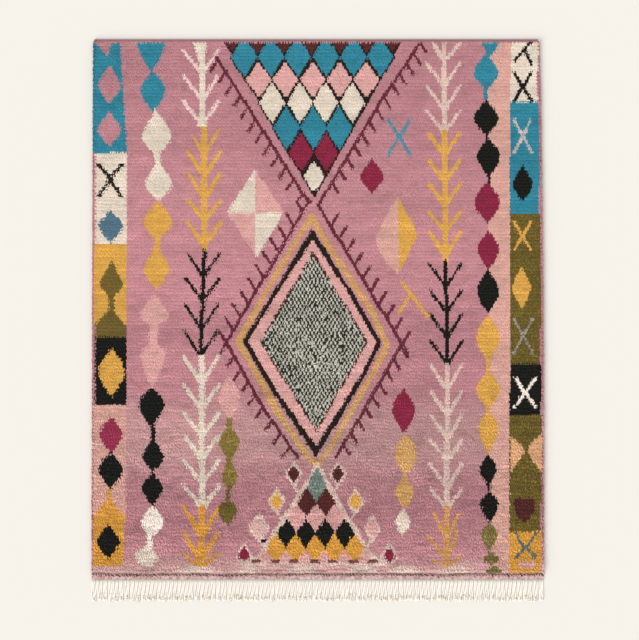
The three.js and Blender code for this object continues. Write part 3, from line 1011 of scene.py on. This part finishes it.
# Twined line. A black yarn and a rose one twist round each other across the cloth, just past the last row of
# knots, and lock the weft.
TWINE_PITCH = 0.018
TWINE_RADIUS = 0.0034
TWINE_HALF_HEIGHT = 0.0045
TWINE_FROM_PILE = 0.0130
TWINE_SWING = 0.0034
TWINE_WANDER = 0.0046
TWINE_RISE = 0.0030
TWINE_LIFT = 0.0022
BLACK_ON_TOP = 0.0012
twine_x = np.linspace(left_x[-1], right_x[-1], int((right_x[-1] - left_x[-1]) / TWINE_PITCH * 6))
knots_across = np.linspace(0, KNOTS, len(twine_x))
last_row = np.full(len(twine_x), ROWS - 1.0)
wander, thin, loose = (
    unevenness(seed, knots, 40, knots_across, last_row) for seed, knots in ((16, 14), (17, 4), (18, 9))
)
twines = []
for start in (0, math.pi):
    turn = twine_x * 2 * math.pi / TWINE_PITCH + start + 7.0 * loose
    twine_y = PILE_END - TWINE_FROM_PILE + TWINE_SWING * np.cos(turn) + TWINE_WANDER * wander
    twine_z = GROUND_TOP + TWINE_RISE + TWINE_LIFT * np.sin(turn) + (BLACK_ON_TOP if start == 0 else 0)
    stitch = random.uniform(0.45, 1.25, len(twine_x))
    twine_y = twine_y + random.normal(0, 0.0017, len(twine_x))
    radius = TWINE_RADIUS * stitch * (1 + 0.4 * thin + 0.6 * np.exp(-knots_across / 12))
    path = np.stack([twine_x, twine_y, twine_z], axis=1)
    twines.append(tube(path, np.stack([radius, radius.clip(0, TWINE_HALF_HEIGHT)], axis=1), 5))
twined = joined("twined_line", twines)
# The black yarn is matt wool, rubbed away in patches about 2 cm wide, so that the rose one shows there.
twined_black, shader = new_material("twined_black_wool", 0.95, 0.5)
place = add_node(twined_black, "ShaderNodeTexCoord").outputs["Object"]
rubbing = {"Scale": 45.0, "Detail": 4.0, "Roughness": 0.7}
tone = mottled(twined_black, place, rubbing, {"From Min": 0.48, "From Max": 0.58}, "#2b1f1a", "#ad837d")
lead_to(shader, tone)
twined.data.materials.append(twined_black)
twined.data.materials.append(overcast_wool)
first_faces, all_faces = len(twines[0][1]), len(twined.data.polygons)
twined.data.polygons.foreach_set("material_index", (np.arange(all_faces) >= first_faces).astype(np.int32))
paint(twined, np.broadcast_to(linear("#c49a93"), (len(twined.data.vertices), 3)))
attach(twined, "root")

# Fringe. The warp ends leave the band in flat strands of four cream yarns, lie on the floor,
# and each strand is tied in a knot a little above its loose tips.
STRANDS = 84
YARNS_EACH = 4
STRAND_LENGTH = 0.120
STRAND_INSET = 0.004
PARTING = 0.0003
LENGTH_SPREAD = 0.011
DRIFT_SPREAD = 0.009
ROOT_LENGTH = 0.006
YARN_WIDTH = 0.0074
YARN_HEIGHT = 0.0054
YARN_PITCH = 0.0075
YARN_WAVE = 0.0011
TIP_RADIUS = 0.0012
KNOT_AT = 0.89
KNOT_POINTS = 22
KNOT_YARN = 0.0017
KNOT_REACH = 0.0080
KNOT_GIRTH = 0.0060
KNOT_SWING = 0.0030
ALONG = np.array([0, 0.12, 0.28, 0.45, 0.6, 0.72, 0.82, 0.89, 0.94, 1.0])
SPREAD = np.interp(ALONG, [0, 0.4, 0.8, KNOT_AT, 0.94, 1], [1, 0.99, 0.93, 0.74, 0.8, 0.9])
LIFT = np.interp(ALONG, [0, 0.7, KNOT_AT, 0.95, 1], [0, 0.0003, 0.0028, 0.0008, 0])


def strand_unevenness(index, kind):
    """A value from 0 to 1 that looks random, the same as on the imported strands."""
    wave = math.sin(index * 12.9898 + kind * 78.233) * 43758.5453
    return wave - math.floor(wave)


left, right = EDGES[-1][1] + STRAND_INSET, EDGES[-1][2] - STRAND_INSET
pitch = (right - left) / STRANDS
strands = []
for index in range(STRANDS):
    root = left + pitch * (index + 0.5)
    length = STRAND_LENGTH - LENGTH_SPREAD * strand_unevenness(index, 4)
    drift = DRIFT_SPREAD * (strand_unevenness(index, 5) - 0.5)
    start_y = BAND_END - PARTING
    middle = root + drift * ALONG ** 2
    down = start_y - ROOT_LENGTH * (ALONG > 0) - length * ALONG
    for yarn_number in range(YARNS_EACH):
        offset = (yarn_number - (YARNS_EACH - 1) / 2) * YARN_PITCH
        wave = YARN_WAVE * np.sin(ALONG * 9 + 2.3 * index + 2.1 * yarn_number) * (ALONG > 0.05)
        xs = middle + offset * SPREAD * (0.9 + 0.14 * strand_unevenness(index, 6)) + wave
        zs = YARN_HEIGHT / 2 + LIFT * (1 if yarn_number % 2 else 0.3)
        radii = np.tile([YARN_WIDTH / 2, YARN_HEIGHT / 2], (len(ALONG), 1))
        radii[-1] = TIP_RADIUS
        zs[-1] = TIP_RADIUS
        strands.append(tube(np.stack([xs, down, zs], axis=1), radii, 5))
    around = np.linspace(0, 3.5 * np.pi, KNOT_POINTS) + index
    turned = np.linspace(-1, 1, KNOT_POINTS)
    knot_x = np.interp(KNOT_AT, ALONG, middle) + KNOT_GIRTH * np.cos(around)
    knot_y = np.interp(KNOT_AT, ALONG, down) + KNOT_REACH * turned + KNOT_SWING * np.sin(around * 1.4)
    knot_z = KNOT_GIRTH + KNOT_SWING * np.sin(around)
    knot_path = np.stack([knot_x, knot_y, knot_z], axis=1)
    strands.append(tube(knot_path, np.full((KNOT_POINTS, 2), KNOT_YARN), 4))
fringe = joined("fringe_strands", strands)
# Undyed cream yarn is nearly matt. Near the knots it turns ochre in blotches.
warp_yarn, shader = new_material("undyed_warp_yarn", 0.9, 0.2)
place = add_node(warp_yarn, "ShaderNodeTexCoord").outputs["Object"]
parts = add_node(warp_yarn, "ShaderNodeSeparateXYZ", links={"Vector": place})
KNOT_ROW = BAND_END - STRAND_LENGTH * KNOT_AT
near_knots = add_node(
    warp_yarn, "ShaderNodeMapRange", {"From Min": KNOT_ROW + 0.045, "From Max": KNOT_ROW + 0.015},
    {"Value": parts.outputs["Y"]},
)
blotches = {"Scale": 85.0, "Detail": 3.0}
ochre_spread = {"From Min": 0.54, "From Max": 0.68, "To Max": 0.75}
near = near_knots.outputs["Result"]
tone = mottled(warp_yarn, place, blotches, ochre_spread, "#e5dfd5", "#a98a50", near)
fibre = add_node(warp_yarn, "ShaderNodeTexNoise", {"Scale": 500.0, "Detail": 2.0}, {"Vector": place})
bump = add_node(
    warp_yarn, "ShaderNodeBump", {"Strength": 0.4, "Distance": 0.0006}, {"Height": fibre.outputs["Fac"]}
)
lead_to(shader, tone, bump)
fringe.data.materials.append(warp_yarn)
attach(fringe, "root")
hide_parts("fringe")

# Studio: a plain pale floor, even light from all round and a soft low light from the lower left.
# The camera looks straight down, as in the photograph.
floor_mesh = bpy.data.meshes.new("floor")
FLOOR_HALF = 20.0
floor_corners = [(x * FLOOR_HALF, y * FLOOR_HALF, 0) for x, y in ((-1, -1), (1, -1), (1, 1), (-1, 1))]
floor_mesh.from_pydata(floor_corners, [], [(0, 1, 2, 3)])
floor = put_in("floor", floor_mesh)
floor_paint, shader = new_material("matt_floor_paint", 1.0, 0.0)
LIGHT = 1.4
shader.inputs["Base Color"].default_value = (*linear("#f7f3eb") / LIGHT, 1)
floor.data.materials.append(floor_paint)

world = bpy.data.worlds.new("studio")
bpy.context.scene.world = world
world.use_nodes = True
AMBIENT = 0.72 * LIGHT
world.node_tree.nodes["Background"].inputs["Color"].default_value = (1, 1, 1, 1)
world.node_tree.nodes["Background"].inputs["Strength"].default_value = AMBIENT
sun = bpy.data.lights.new("window_light", "SUN")
SUN_TILT = math.radians(64)
sun.energy = (LIGHT - AMBIENT) * math.pi / math.cos(SUN_TILT)
sun.angle = math.radians(35)
lamp = put_in("window_light", sun)
lamp.rotation_euler = (SUN_TILT, 0, math.radians(-38))

MM_PER_PIXEL = 5.57
IMAGE_WIDTH = 639
RUG_LEFT_OF_MIDDLE = 0.0105
camera_data = bpy.data.cameras.new("camera")
camera = put_in("camera", camera_data)
CAMERA_HEIGHT = 24.0
camera.location = (RUG_LEFT_OF_MIDDLE, 0.0, CAMERA_HEIGHT)
camera_data.lens = camera_data.sensor_width * CAMERA_HEIGHT / (MM_PER_PIXEL * IMAGE_WIDTH / 1000)
camera_data.clip_end = 100
bpy.context.scene.camera = camera
bpy.context.scene.view_settings.view_transform = "Standard"
